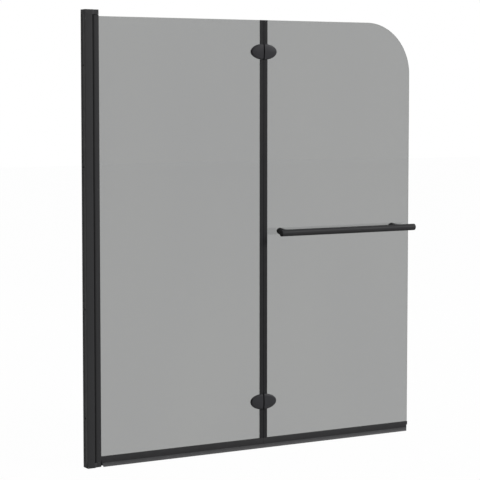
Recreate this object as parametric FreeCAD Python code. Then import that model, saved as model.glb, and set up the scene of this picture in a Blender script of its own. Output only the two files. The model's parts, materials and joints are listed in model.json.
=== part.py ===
import FreeCAD, Part
import math
import os

# A folding shower screen of two glass leaves. One leaf turns on a profile held
# at the wall, and the other folds flat behind it on two oval hinges.
# X runs from the wall along the glass, Y goes through the glass from the
# towel rail's side to the back, and Z is up. The origin is at the foot of the
# wall face, in the middle of the glass. All sizes are in millimetres.

# Whole screen
screen_width = 1200.0          # wall face to the free edge of the glass
screen_height = 1400.0         # underside of the foot cap to the top of the head cap
fold_reach = 630.5             # wall face to the line between the two leaves
glass_thickness = 5.0
glass_lift = 19.0              # underside of the screen to the foot of the glass
glass_head_setback = 3.8       # head of the pivot profile to the head of the glass
glass_corner_radius = 170.0    # free top corner
overrun = 2.0                  # how far a cutter runs past what it cuts
running_gap = 0.3              # between pieces that slide or turn past each other

# Wall channel, a U that is screwed to the wall
channel_width = 25.0           # out from the wall
channel_depth = 32.0           # across the glass
channel_wall = 2.0
channel_groove_width = 12.0    # shallow groove along the wall face
channel_groove_depth = 0.6
wall_hole_radius = 2.75
wall_hole_height_shares = (0.11, 0.35, 0.66, 0.88)

# Post, which slides in the channel to take up a wall that is out of true
post_setback = 6.0             # room behind the post
post_wall = 1.8
port_wall = 1.6                # around the screw ports
lock_screw_radius = 1.6
lock_screw_tip = 1.0           # past the inside of the post
lock_head_radius = 3.6
lock_head_height = 2.4
lock_screw_height_shares = (0.15, 0.5, 0.85)

# Caps on the ends of the channel
head_cap_height = 15.0
foot_cap_height = 15.0
cap_wall = 2.0
cap_plate = 3.0
cap_margin = 2.5               # cap's nose past each side of the pivot profile
cap_front_margin = 4.7         # and past its round nose's radius, in front of the pivot
cap_nose_round = 2.5
cap_shoulder = 8.0             # slope between the cap's full depth and its nose
cap_screw_radius = 2.0
cap_screw_length = 28.0
cap_head_radius = 4.0
cap_head_height = 2.2

# Pivot between the wall side and the first leaf
nose_radius = 8.0              # round nose of the pivot profile, half its depth
nose_setback = 3.0             # channel's edge to the nose
profile_wall = 2.0
profile_web = 1.5              # between the nose's room and the glass pocket
profile_pin_land = 0.5         # pin to that web
glass_pocket_depth = 8.5
pivot_pin_radius = 3.0
pin_clearance = 0.05
bush_wall = 2.0
bush_end_gap = 2.0             # bush to the cap's plate
bush_flange_radius = 7.0
bush_flange_thickness = 1.0
bush_flange_proud = 0.2         # past the cap's rim
plug_length = 18.0
wiper_stem_width = 3.2
wiper_barb = 1.0
wiper_bulb_radius = 2.6

# Rubber and plastic strips on the glass
gasket_base = 1.5              # under the glass edge in the profile
gasket_bead = 0.8              # shows past the profile
gasket_lip = 2.0
seal_wall = 2.0                # clip beside the glass
seal_web = 1.5
first_edge_seal_reach = 14.0   # fold line to the far side of the seal
second_edge_seal_reach = 14.0
fold_half_gap = 0.25           # fold line to each soft seal
glass_fold_setback = 6.5       # fold line to each glass edge
edge_seal_round = 1.2
edge_seal_back_reach = 10.0    # fold line to the far side of the seal behind the glass
hinge_notch = 0.3              # edge seals stop this far from the hinges
drip_clip_grip = 11.3          # clip above the foot of the glass
drip_clip_drop = 8.5           # clip below the foot of the glass
drip_base_thickness = 2.0
drip_ground_gap = 0.5
drip_lip_reach = 17.0          # glass middle to the tip of the slanting lip
drip_lip_thickness = 1.5
drip_lip_rise_share = 0.2      # how far the lip's arch rises, of its fall
drip_lip_lean_share = 0.05     # and leans out, of its run
drip_fin_thickness = 1.6
drip_cap_clearance = 0.4       # strip to the foot cap with the leaf at right angles
drip_end_setback = 3.0         # end of the strip below the glass to the free edge
drip_lip_end_setback = 12.0    # end of the lip's tip to the free edge

# Oval fold hinges
hinge_width = 95.0
hinge_height = 51.0
hinge_back_width = 85.0        # leaves, covers and gaskets behind the glass
hinge_back_height = 46.0
hinge_proud = 8.0              # front shell past the glass
hinge_back_proud = 8.5         # back cover past the glass
hinge_half_gap = 0.5           # fold line to each metal half
hinge_first_front_gap = 3.5    # fold line to the first leaf's front shell
hinge_from_head = 100.7        # hinge middle to the head of the glass
hinge_from_foot = 150.0        # hinge middle to the underside of the screen
hinge_front_round_share = 0.75 # of the shell's depth
hinge_back_round = 2.5
hinge_shell_wall = 2.5
hinge_cover_wall = 1.5
hinge_gasket_thickness = 0.8
hinge_gasket_inset = 0.6
hinge_gasket_setback = 0.5     # glass edge to the gasket
leaf_thickness = 3.0
leaf_inset = 1.7
knuckle_inset = 3.0            # end of the knuckles to the end of the oval
knuckle_clearance = 0.7
cover_clearance = 0.5          # back cover's face to the fold axis
cover_setback = 2.0            # knuckles to the back covers
hinge_pin_radius = 2.0
hinge_pin_head_radius = 3.4
hinge_pin_head_height = 1.2
hinge_screw_radius = 2.5
hinge_screw_clearance = 0.2
hinge_screw_head_radius = 4.2
hinge_screw_head_height = 2.6
hinge_screw_reach = 24.0       # fold line to the screws
hinge_screw_spread = 20.0      # between the two screws of a half
hinge_boss_wall = 2.0
glass_hole_radius = 5.0
collar_clearance = 0.1

# Towel rail on the second leaf
rail_diameter = 22.0
rail_wall = 1.5
rail_offset = 42.0             # glass middle to the rail's axis
rail_drop = 1.0                # middle of the screen's height to the rail's axis
rail_inset = 42.5              # fold line to the rail's end
rail_end_setback = 3.4         # rail's free end to the free edge
rail_near_overhang = 20.5      # rail's end to the first post
rail_far_overhang = 65.6       # second post to the rail's free end
rail_cap_thickness = 3.0
rail_cap_round = 1.2
rail_cap_spigot = 7.0
rail_spigot_slack = 0.1
stand_radius = 10.6
stand_rise = 3.2               # post's foot above the rail's axis
stand_spigot_radius = 5.0
stand_spigot_depth = 5.0       # into the rail, from its skin
anchor_length = 18.0
rail_washer_radius = 11.0
rail_washer_thickness = 1.0
rail_back_radius = 8.5
rail_back_washer_inset = 0.3
rail_back_disc_thickness = 5.0
rail_back_disc_round = 1.0
rail_bolt_radius = 3.0
rail_bolt_reach = 14.0         # into the stand
rail_bolt_head_radius = 5.0
rail_bolt_head_height = 3.2
rail_bolt_clearance = 0.2
rail_glass_hole_radius = 6.0

# Levels and places worked out from the sizes above
half_glass = glass_thickness / 2
channel_half_depth = channel_depth / 2
channel_foot = foot_cap_height
channel_head = screen_height - head_cap_height
leaf_foot = channel_foot + bush_flange_proud
leaf_head = channel_head - bush_flange_proud - running_gap
glass_head = leaf_head - glass_head_setback
pivot_x = channel_width + nose_setback + nose_radius
pocket_x = pivot_x + pivot_pin_radius + profile_pin_land + profile_web
profile_end = pocket_x + glass_pocket_depth
pocket_half_depth = nose_radius - profile_wall
first_glass_start = pocket_x + gasket_base
post_back = channel_wall + post_setback
post_half_depth = channel_half_depth - channel_wall - running_gap
post_inner_half_depth = post_half_depth - post_wall
port_radius = cap_screw_radius + port_wall
port_x = channel_width - post_wall - port_radius + port_wall / 2
port_y = post_inner_half_depth - port_radius + port_wall / 2
lock_screw_x = (post_back + port_x - port_radius) / 2
cap_nose_half_width = nose_radius + cap_margin
cap_nose_reach = nose_radius + cap_front_margin
cap_nose_swing = cap_nose_round + math.hypot(cap_nose_reach - cap_nose_round,
                                             cap_nose_half_width - cap_nose_round)
bush_radius = pivot_pin_radius + pin_clearance + bush_wall
seal_half_depth = half_glass + seal_wall
hinge_levels = {
    "upper": glass_head - hinge_from_head,
    "lower": hinge_from_foot,
}
leaf_face = half_glass + hinge_gasket_thickness
leaf_back = leaf_face + leaf_thickness
fold_axis_y = half_glass + hinge_back_proud + cover_clearance
knuckle_radius = fold_axis_y - leaf_back - knuckle_clearance
knuckle_stack = hinge_back_height - 2 * knuckle_inset
knuckle_pitch = knuckle_stack / 3
cover_start = knuckle_radius + cover_setback
hinge_front = (hinge_width, hinge_height)
hinge_back = (hinge_back_width, hinge_back_height)
hinge_front_round = hinge_front_round_share * (hinge_proud - hinge_gasket_thickness)
drip_clip_top = glass_lift + drip_clip_grip
drip_clip_foot = glass_lift - drip_clip_drop
drip_start = pivot_x + max(channel_half_depth, cap_nose_swing) + drip_cap_clearance
drip_leg_start = profile_end + gasket_bead + running_gap
drip_end = screen_width - drip_end_setback
rail_radius = rail_diameter / 2
rail_level = screen_height / 2 - rail_drop
stand_level = rail_level + stand_rise
rail_near_end = fold_reach + rail_inset
rail_far_end = screen_width - rail_end_setback
stand_places = (rail_near_end + rail_near_overhang, rail_far_end - rail_far_overhang)

east = FreeCAD.Vector(1, 0, 0)
away = FreeCAD.Vector(0, 1, 0)
up = FreeCAD.Vector(0, 0, 1)


def point(x, y, z):
    return FreeCAD.Vector(x, y, z)


def block(x_span, y_span, z_span):
    """A box between two values on each axis, given in either order."""
    spans = [sorted(span) for span in (x_span, y_span, z_span)]
    corner = point(*[low for low, high in spans])
    return Part.makeBox(*[high - low for low, high in spans], corner)


def rod(radius, start, end):
    """A round bar from one point to another."""
    run = end - start
    return Part.makeCylinder(radius, run.Length, start, run)


def upright_rod(radius, x, y, z_span):
    return rod(radius, point(x, y, z_span[0]), point(x, y, z_span[1]))


def cross_rod(radius, x, z, y_span):
    return rod(radius, point(x, y_span[0], z), point(x, y_span[1], z))


def long_rod(radius, y, z, x_span):
    return rod(radius, point(x_span[0], y, z), point(x_span[1], y, z))


def fuse(shapes):
    """One solid from shapes that meet."""
    whole = shapes[0]
    for shape in shapes[1:]:
        whole = whole.fuse(shape)
    return whole.removeSplitter()


def both(span):
    """The span from minus a value to plus it."""
    return (-span, span)


def fold_x(side, distance):
    """X at a distance from the fold line: side -1 is the first leaf, 1 the second."""
    return fold_reach + side * distance


def rim_towards(shape, direction):
    """The rim of a round or oval plate that lies furthest in a direction."""
    return max(shape.Edges, key=lambda edge: edge.CenterOfMass.dot(direction))


def furthest_uprights(shape, direction):
    """The two upright edges of a shape that lie furthest in a direction."""
    uprights = [edge for edge in shape.Edges
                if round(abs(edge.tangentAt(edge.FirstParameter).dot(up))) == 1]
    return sorted(uprights, key=lambda edge: -edge.CenterOfMass.dot(direction))[:2]


def rounded_rim(shape, direction, radius):
    return shape.makeFillet(radius, [rim_towards(shape, direction)])


def head_screw(head_radius, head_height, radius, seat, tip):
    """A pan-head screw whose head sits on the seat point, with its tip at the other."""
    out = (seat - tip).normalize()
    head = Part.makeCylinder(head_radius, head_height, seat, out)
    return fuse([rounded_rim(head, out, head_height / 2), rod(radius, seat, tip)])


def wall_channel():
    z_span = (channel_foot, channel_head)
    past = (channel_foot - overrun, channel_head + overrun)
    shell = block((0, channel_width), both(channel_half_depth), z_span)
    inside = block((channel_wall, channel_width + overrun),
                   both(channel_half_depth - channel_wall), past)
    groove = block((-overrun, channel_groove_depth), both(channel_groove_width / 2), past)
    shape = shell.cut(inside).cut(groove)
    for share in wall_hole_height_shares:
        shape = shape.cut(long_rod(wall_hole_radius, 0, share * screen_height,
                                   (-overrun, channel_wall + overrun)))
    for share in lock_screw_height_shares:
        shape = shape.cut(cross_rod(lock_screw_radius + running_gap, lock_screw_x,
                                    share * screen_height,
                                    (post_half_depth, channel_half_depth + overrun)))
    return shape


def channel_post():
    z_span = (channel_foot, channel_head)
    past = (channel_foot - overrun, channel_head + overrun)
    shell = block((post_back, channel_width), both(post_half_depth), z_span)
    inside = block((post_back - overrun, channel_width - post_wall), both(post_inner_half_depth), past)
    stem_back = channel_width - post_wall
    barb_half_width = wiper_stem_width / 2 + wiper_barb
    holder = block((stem_back - wiper_barb - post_wall, stem_back),
                   both(barb_half_width + post_wall), z_span)
    stem_slot = block((stem_back - wiper_barb, channel_width + overrun),
                      both(wiper_stem_width / 2), past)
    barb_slot = block((stem_back - wiper_barb, stem_back), both(barb_half_width), past)
    shape = shell.cut(inside).fuse(holder).cut(stem_slot).cut(barb_slot)
    for y in both(port_y):
        shape = shape.fuse(upright_rod(port_radius, port_x, y, z_span))
    for y in both(port_y):
        shape = shape.cut(upright_rod(cap_screw_radius, port_x, y, past))
    for share in lock_screw_height_shares:
        shape = shape.cut(cross_rod(lock_screw_radius, lock_screw_x, share * screen_height,
                                    (post_inner_half_depth - overrun,
                                     post_half_depth + running_gap)))
    return shape.removeSplitter()


def lock_screws():
    screws = []
    for share in lock_screw_height_shares:
        seat = point(lock_screw_x, channel_half_depth, share * screen_height)
        tip = point(lock_screw_x, post_inner_half_depth - lock_screw_tip, share * screen_height)
        screws.append(head_screw(lock_head_radius, lock_head_height, lock_screw_radius,
                                 seat, tip))
    return Part.makeCompound(screws)


def pivot_wiper():
    """A bulb that wipes the pivot profile's nose, held by a barbed stem in the post."""
    z_span = (channel_foot, channel_head)
    stem_back = channel_width - post_wall
    tip = pivot_x - nose_radius - running_gap
    bulb = upright_rod(wiper_bulb_radius, tip - wiper_bulb_radius, 0, z_span)
    bulb = bulb.common(block((channel_width, tip + overrun), both(channel_half_depth), z_span))
    stem = block((stem_back, channel_width), both(wiper_stem_width / 2), z_span)
    barb = block((stem_back - wiper_barb, stem_back),
                 both(wiper_stem_width / 2 + wiper_barb), z_span)
    return fuse([bulb, stem, barb])


def cap_plan(inset, z):
    """Plan of an end cap: the channel's full depth, sloping shoulders, and a box nose."""
    depth = channel_half_depth - inset
    nose = cap_nose_half_width - inset
    front = pivot_x + cap_nose_reach - inset
    path = [(inset, -depth), (channel_width, -depth), (channel_width + cap_shoulder, -nose),
            (front, -nose)]
    corners = [point(x, y, z) for x, y in path] + [point(x, -y, z) for x, y in reversed(path)]
    return Part.Face(Part.makePolygon(corners + corners[:1]))


def end_cap(seat, outside):
    """A hollow cap from the channel's end to the outside, with bosses for bush and screws."""
    out = 1 if outside > seat else -1
    ceiling = outside - out * cap_plate
    shape = cap_plan(0, seat).extrude(up * (outside - seat))
    shape = shape.makeFillet(cap_nose_round, furthest_uprights(shape, east))
    shape = shape.cut(cap_plan(cap_wall, seat).extrude(up * (ceiling - seat)))
    flange_seat = seat + out * (bush_flange_thickness - bush_flange_proud)
    shape = shape.fuse(upright_rod(bush_radius + cap_wall, pivot_x, 0, (flange_seat, ceiling)))
    for y in both(port_y):
        shape = shape.fuse(upright_rod(cap_screw_radius + cap_wall, port_x, y, (seat, ceiling)))
    shape = shape.cut(upright_rod(bush_radius, pivot_x, 0, (seat, ceiling - out * bush_end_gap)))
    for y in both(port_y):
        through = (seat - out * overrun, outside + out * overrun)
        shape = shape.cut(upright_rod(cap_screw_radius + pin_clearance, port_x, y, through))
        sink = Part.makeCone(cap_head_radius, cap_screw_radius + pin_clearance, cap_head_height,
                             point(port_x, y, outside), up * -out)
        shape = shape.cut(sink)
    return shape.removeSplitter()


def cap_screws():
    """Countersunk screws through the caps into the post's ports."""
    screws = []
    for outside, down in ((screen_height, -1), (0, 1)):
        for y in both(port_y):
            top = point(port_x, y, outside)
            head = Part.makeCone(cap_head_radius, cap_screw_radius, cap_head_height,
                                 top, up * down)
            shank = rod(cap_screw_radius, top, top + up * down * cap_screw_length)
            screws.append(fuse([head, shank]))
    return Part.makeCompound(screws)


def bush_depth(seat, outside):
    return abs(outside - seat) - cap_plate - bush_end_gap


def pivot_bush(seat, outside):
    """A bush in the cap between the seat and the outside, with its flange sunk in the rim."""
    out = 1 if outside > seat else -1
    end = seat + out * bush_depth(seat, outside)
    body = upright_rod(bush_radius, pivot_x, 0, (seat, end))
    face = seat - out * bush_flange_proud
    flange = upright_rod(bush_flange_radius, pivot_x, 0, (face, face + out * bush_flange_thickness))
    bore = upright_rod(pivot_pin_radius + pin_clearance, pivot_x, 0,
                       (face - out * overrun, end + out * overrun))
    return fuse([body, flange]).cut(bore)


def nose_hollow(z_span):
    """The round room in the profile's nose, flat towards the glass pocket."""
    room = upright_rod(nose_radius - profile_wall, pivot_x, 0, z_span)
    return room.common(block((pivot_x - nose_radius, pocket_x - profile_web),
                             both(nose_radius), z_span))


def pivot_profile():
    z_span = (leaf_foot, leaf_head)
    past = (leaf_foot - overrun, leaf_head + overrun)
    nose = upright_rod(nose_radius, pivot_x, 0, z_span)
    body = block((pivot_x, profile_end), both(nose_radius), z_span)
    pocket = block((pocket_x, profile_end + overrun), both(pocket_half_depth), past)
    return fuse([nose, body]).cut(pocket).cut(nose_hollow(past))


def pivot_plug(end, inward):
    """Fills the nose's room at one end of the profile and grips the pin."""
    shape = nose_hollow((end, end + inward * plug_length))
    return shape.cut(upright_rod(pivot_pin_radius, pivot_x, 0,
                                 (end - inward * overrun, end + inward * (plug_length + overrun))))


def pivot_pin(seat, outside, end):
    """From deep in the plug at the profile's end to near the end of the cap's bush."""
    out = 1 if outside > seat else -1
    reach = seat + out * (bush_depth(seat, outside) - running_gap)
    return upright_rod(pivot_pin_radius, pivot_x, 0, (end - out * plug_length, reach))


def glazing_gasket():
    """A rubber U between the first glass and the profile's pocket."""
    z_span = (leaf_foot, leaf_head)
    packing = block((pocket_x, profile_end), both(pocket_half_depth), z_span)
    bead = block((profile_end, profile_end + gasket_bead), both(half_glass + gasket_lip), z_span)
    glass = block((first_glass_start, profile_end + gasket_bead + overrun), both(half_glass),
                  (glass_lift, leaf_head + overrun))
    return fuse([packing, bead]).cut(glass)


def hinge_screw_places(side, level):
    x = fold_x(side, hinge_screw_reach)
    return [(x, level + z) for z in both(hinge_screw_spread / 2)]


def with_hinge_holes(glass, side):
    for level in hinge_levels.values():
        for x, z in hinge_screw_places(side, level):
            glass = glass.cut(cross_rod(glass_hole_radius, x, z, both(half_glass + overrun)))
    return glass


def first_glass():
    pane = block((first_glass_start, fold_x(-1, glass_fold_setback)), both(half_glass),
                 (glass_lift, glass_head))
    return with_hinge_holes(pane, -1)


def second_glass():
    """The second pane, with one round top corner at its free edge."""
    near = fold_x(1, glass_fold_setback)
    far = screen_width
    radius = glass_corner_radius
    bend = point(far - radius, -half_glass, glass_head - radius)
    diagonal = (east + up).normalize() * radius
    corners = [point(far - radius, -half_glass, glass_head), point(near, -half_glass, glass_head),
               point(near, -half_glass, glass_lift), point(far, -half_glass, glass_lift),
               point(far, -half_glass, glass_head - radius)]
    edges = [Part.LineSegment(a, b).toShape() for a, b in zip(corners, corners[1:])]
    edges.append(Part.Arc(corners[-1], bend + diagonal, corners[0]).toShape())
    pane = Part.Face(Part.Wire(edges)).extrude(away * glass_thickness)
    for x in stand_places:
        pane = pane.cut(cross_rod(rail_glass_hole_radius, x, stand_level,
                                  both(half_glass + overrun)))
    return with_hinge_holes(pane, 1)


def edge_seal(side, reach):
    """A clip on a leaf's fold edge with a soft hollow nose, cut to the shape of the hinges."""
    z_span = (drip_clip_top, glass_head)
    past = (z_span[0] - overrun, z_span[1] + overrun)
    strip = block((fold_x(side, fold_half_gap), fold_x(side, reach)),
                  both(seal_half_depth), z_span)
    strip = strip.makeFillet(edge_seal_round, furthest_uprights(strip, east * -side))
    glass = block((fold_x(side, glass_fold_setback), fold_x(side, reach + overrun)),
                  both(half_glass), past)
    behind = block((fold_x(side, edge_seal_back_reach), fold_x(side, reach + overrun)),
                   (0, seal_half_depth + overrun), past)
    room = block((fold_x(side, fold_half_gap + seal_web),
                  fold_x(side, glass_fold_setback - seal_web)),
                 both(seal_half_depth - seal_web), past)
    strip = strip.cut(glass).cut(behind).cut(room)
    for level in hinge_levels.values():
        strip = strip.cut(oval(hinge_front, -hinge_notch, both(seal_half_depth + overrun), level))
    return Part.makeCompound(strip.Solids)


def drip_seal(x_span, leg_span):
    """A clip under the glass with a lip slanting out and a fin down at the back.

    Its legs beside the glass have a span of their own.
    """
    past = (leg_span[0] - overrun, leg_span[1] + overrun)
    base = glass_lift - drip_base_thickness
    clip = block(x_span, both(seal_half_depth), (drip_clip_foot, drip_clip_top))
    legs = block(leg_span, both(seal_half_depth), (glass_lift, drip_clip_top))
    glass = block(past, both(half_glass), (glass_lift, drip_clip_top + overrun))
    room = block(past, both(seal_half_depth - seal_web), (drip_clip_foot + seal_web, base))
    fin = block(x_span, (seal_half_depth - drip_fin_thickness, seal_half_depth),
                (drip_ground_gap, drip_clip_foot))
    return fuse([fuse([clip, legs]).cut(glass).cut(room), fin, drip_lip(x_span)])


def second_drip_seal():
    """The second leaf's strip, whose lip runs back towards its tip at the free end."""
    start = fold_x(1, fold_half_gap)
    strip = drip_seal((start, drip_end), (start, screen_width))
    tip = screen_width - drip_lip_end_setback
    past = screen_width + overrun
    lip_past = -drip_lip_reach - overrun
    path = [(drip_end, -seal_half_depth), (tip, -drip_lip_reach), (tip, lip_past),
            (past, lip_past), (past, -seal_half_depth)]
    corners = [point(x, y, -overrun) for x, y in path]
    beyond = Part.Face(Part.makePolygon(corners + corners[:1])).extrude(up * (glass_lift + overrun))
    return strip.cut(beyond)


def drip_lip(x_span):
    """The slanting lip: an arched blade from the clip's front foot to its tip."""
    x = x_span[0]
    fall = drip_clip_foot - drip_ground_gap
    run = drip_lip_reach - seal_half_depth
    root = point(x, -seal_half_depth, drip_clip_foot + drip_lip_thickness)
    root_foot = point(x, -seal_half_depth, drip_clip_foot)
    tip = point(x, -drip_lip_reach, drip_ground_gap + drip_lip_thickness / 2)
    tip_foot = point(x, -drip_lip_reach + drip_lip_thickness / 2, drip_ground_gap)
    arch = up * (fall * drip_lip_rise_share) - away * (run * drip_lip_lean_share)
    edges = [
        Part.Arc(root, (root + tip) / 2 + arch, tip).toShape(),
        Part.LineSegment(tip, tip_foot).toShape(),
        Part.Arc(tip_foot, (root_foot + tip_foot) / 2 + arch, root_foot).toShape(),
        Part.LineSegment(root_foot, root).toShape(),
    ]
    return Part.Face(Part.Wire(edges)).extrude(east * (x_span[1] - x_span[0]))


def oval(size, inset, y_span, level):
    """An oval plate on the fold line, of a width and height less the inset all round."""
    ring = Part.Ellipse(point(0, 0, 0), size[0] / 2 - inset, size[1] / 2 - inset)
    face = Part.Face(Part.Wire([ring.toShape()]))
    face.rotate(point(0, 0, 0), east, 90)
    face.translate(point(fold_reach, y_span[0], level))
    return face.extrude(away * (y_span[1] - y_span[0]))


def domed_oval(size, y_span, level, radius):
    """An oval plate whose rim at the second y value is rounded over."""
    return rounded_rim(oval(size, 0, y_span, level), away * (y_span[1] - y_span[0]), radius)


def half_room(side, start, level):
    """The space on one side of the fold line, from a distance outwards."""
    return block((fold_x(side, start), fold_x(side, hinge_width)), both(hinge_width),
                 (level - hinge_height, level + hinge_height))


def hinge_front_shell(side, level):
    """Half of the domed front, hollow behind, with two bosses for the screws."""
    seat = -half_glass - hinge_gasket_thickness
    face = -half_glass - hinge_proud
    ceiling = face + hinge_shell_wall
    shape = domed_oval(hinge_front, (seat, face), level, hinge_front_round)
    start = hinge_first_front_gap if side < 0 else hinge_half_gap
    shape = shape.common(half_room(side, start, level))
    room = oval(hinge_front, hinge_front_round, (seat + overrun, ceiling), level)
    room = room.common(half_room(side, start + hinge_shell_wall, level))
    for x, z in hinge_screw_places(side, level):
        room = room.cut(cross_rod(hinge_screw_radius + hinge_boss_wall, x, z,
                                  (seat + overrun, ceiling)))
    shape = shape.cut(room)
    for x, z in hinge_screw_places(side, level):
        shape = shape.cut(cross_rod(hinge_screw_radius, x, z, (seat + overrun, ceiling)))
    return shape


def knuckle_spans(side, level):
    """The first leaf has the outer two knuckles, the second leaf the middle one."""
    half_gap = running_gap / 2
    foot = level - knuckle_stack / 2
    numbers = (0, 2) if side < 0 else (1,)
    return [(foot + n * knuckle_pitch + half_gap, foot + (n + 1) * knuckle_pitch - half_gap)
            for n in numbers]


def hinge_leaf(side, level):
    """The steel leaf behind the glass with its knuckles on the fold axis."""
    plate = oval(hinge_back, leaf_inset, (leaf_face, leaf_back), level)
    shape = plate.common(half_room(side, hinge_half_gap, level))
    for z_span in knuckle_spans(side, level):
        stem = block((fold_x(side, hinge_half_gap), fold_x(side, knuckle_radius)),
                     (leaf_face, fold_axis_y), z_span)
        shape = fuse([shape, stem, upright_rod(knuckle_radius, fold_reach, fold_axis_y, z_span)])
    reach = (level - hinge_height, level + hinge_height)
    shape = shape.cut(upright_rod(hinge_pin_radius + pin_clearance, fold_reach,
                                  fold_axis_y, reach))
    for x, z in hinge_screw_places(side, level):
        shape = shape.cut(cross_rod(hinge_screw_radius + hinge_screw_clearance, x, z,
                                    (leaf_face - overrun, leaf_back + overrun)))
    return shape


def hinge_pin(level):
    half = knuckle_stack / 2
    parts = [upright_rod(hinge_pin_radius, fold_reach, fold_axis_y, (level - half, level + half))]
    for side in (-1, 1):
        end = level + side * half
        parts.append(upright_rod(hinge_pin_head_radius, fold_reach, fold_axis_y,
                                 (end, end + side * hinge_pin_head_height)))
    return fuse(parts)


def hinge_back_cover(side, level):
    """A pressed-on cover over the leaf and its screw heads, open towards the knuckles."""
    face = half_glass + hinge_back_proud
    shape = domed_oval(hinge_back, (leaf_face, face), level, hinge_back_round)
    shape = shape.common(half_room(side, cover_start, level))
    leaf_room = oval(hinge_back, leaf_inset, (leaf_face - overrun, leaf_back), level)
    head_room = oval(hinge_back, leaf_inset + hinge_cover_wall,
                     (leaf_back, face - hinge_cover_wall), level)
    head_room = head_room.common(half_room(side, cover_start + hinge_cover_wall, level))
    return shape.cut(leaf_room).cut(head_room)


def hinge_screws(side, level):
    screws = []
    tip = -half_glass - hinge_proud + hinge_shell_wall + running_gap
    for x, z in hinge_screw_places(side, level):
        screws.append(head_screw(hinge_screw_head_radius, hinge_screw_head_height,
                                 hinge_screw_radius, point(x, leaf_back, z), point(x, tip, z)))
    return Part.makeCompound(screws)


def hinge_gaskets(side, level):
    """A gasket on each face of the glass; the back one has collars that line the holes."""
    start = glass_fold_setback + hinge_gasket_setback
    clear = hinge_screw_radius + hinge_screw_clearance
    pads = []
    for size, y_span in ((hinge_front, (-leaf_face, -half_glass)),
                         (hinge_back, (half_glass, leaf_face))):
        pad = oval(size, hinge_gasket_inset, y_span, level)
        pads.append(pad.common(half_room(side, start, level)))
    for x, z in hinge_screw_places(side, level):
        collar = cross_rod(glass_hole_radius - collar_clearance, x, z, both(half_glass))
        pads[1] = pads[1].fuse(collar)
    for x, z in hinge_screw_places(side, level):
        hole = cross_rod(clear, x, z, both(leaf_face + overrun))
        pads = [pad.cut(hole) for pad in pads]
    return Part.makeCompound(pads)


def rail_tube():
    ends = (rail_near_end + rail_cap_thickness, rail_far_end - rail_cap_thickness)
    past = (rail_near_end - overrun, rail_far_end + overrun)
    shape = long_rod(rail_radius, -rail_offset, rail_level, ends)
    shape = shape.cut(long_rod(rail_radius - rail_wall, -rail_offset, rail_level, past))
    for x in stand_places:
        shape = shape.cut(cross_rod(stand_spigot_radius, x, rail_level,
                                    (-rail_offset, -half_glass)))
    return shape


def rail_end_cap(end, inward):
    """A flat end with a rounded edge, and a spigot pushed into the tube."""
    seat = end + inward * rail_cap_thickness
    disc = long_rod(rail_radius, -rail_offset, rail_level, (end, seat))
    spigot = long_rod(rail_radius - rail_wall - rail_spigot_slack, -rail_offset, rail_level,
                      (seat, seat + inward * rail_cap_spigot))
    return fuse([rounded_rim(disc, east * -inward, rail_cap_round), spigot])


def rail_stand(x):
    """A post from the glass to the rail, a little lower there and hollowed to fit it.

    A spigot goes on through the rail's skin.
    """
    foot = -half_glass - rail_washer_thickness
    skin = -rail_offset + rail_radius
    rail_middle = point(x, -rail_offset, rail_level)
    foot_middle = point(x, foot, stand_level)
    tail = foot_middle + (foot_middle - rail_middle).normalize() * stand_radius
    shape = rod(stand_radius, tail, rail_middle)
    shape = shape.cut(block((x - rail_diameter, x + rail_diameter), (foot, foot + rail_diameter),
                            (stand_level - rail_diameter, stand_level + rail_diameter)))
    shape = shape.cut(long_rod(rail_radius, -rail_offset, rail_level,
                               (x - rail_diameter, x + rail_diameter)))
    spigot = cross_rod(stand_spigot_radius, x, rail_level,
                       (skin - stand_spigot_depth, (skin + foot) / 2))
    shape = fuse([shape, spigot])
    return shape.cut(cross_rod(rail_bolt_radius, x, stand_level,
                               (foot + overrun, foot - rail_bolt_reach)))


def rail_anchors():
    """Plugs inside the rail that the stands' spigots screw into."""
    radius = rail_radius - rail_wall - rail_spigot_slack
    anchors = []
    for x in stand_places:
        plug = long_rod(radius, -rail_offset, rail_level,
                        (x - anchor_length / 2, x + anchor_length / 2))
        skin = -rail_offset + rail_radius
        hole = cross_rod(stand_spigot_radius, x, rail_level,
                         (skin - stand_spigot_depth, skin))
        anchors.append(plug.cut(hole))
    return Part.makeCompound(anchors)


def rail_front_washers():
    shapes = []
    for x in stand_places:
        washer = cross_rod(rail_washer_radius, x, stand_level,
                           (-half_glass - rail_washer_thickness, -half_glass))
        hole = cross_rod(rail_bolt_radius + rail_bolt_clearance, x, stand_level,
                         both(half_glass + rail_washer_thickness + overrun))
        shapes.append(washer.cut(hole))
    return Part.makeCompound(shapes)


def rail_back_washers():
    """Rubber behind the glass, with a collar that lines the hole."""
    shapes = []
    for x in stand_places:
        washer = cross_rod(rail_back_radius - rail_back_washer_inset, x, stand_level,
                           (half_glass, half_glass + rail_washer_thickness))
        collar = cross_rod(rail_glass_hole_radius - collar_clearance, x, stand_level,
                           both(half_glass))
        hole = cross_rod(rail_bolt_radius + rail_bolt_clearance, x, stand_level,
                         both(half_glass + rail_washer_thickness + overrun))
        shapes.append(fuse([washer, collar]).cut(hole))
    return Part.makeCompound(shapes)


def rail_back_discs():
    """Discs behind the glass, counterbored for the bolt heads."""
    seat = half_glass + rail_washer_thickness
    face = seat + rail_back_disc_thickness
    shapes = []
    for x in stand_places:
        disc = rounded_rim(cross_rod(rail_back_radius, x, stand_level, (seat, face)),
                           away, rail_back_disc_round)
        hole = cross_rod(rail_bolt_radius + rail_bolt_clearance, x, stand_level,
                         (seat - overrun, face + overrun))
        sink = cross_rod(rail_bolt_head_radius + rail_bolt_clearance, x, stand_level,
                         (face - rail_bolt_head_height, face + overrun))
        shapes.append(disc.cut(hole).cut(sink))
    return Part.makeCompound(shapes)


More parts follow.
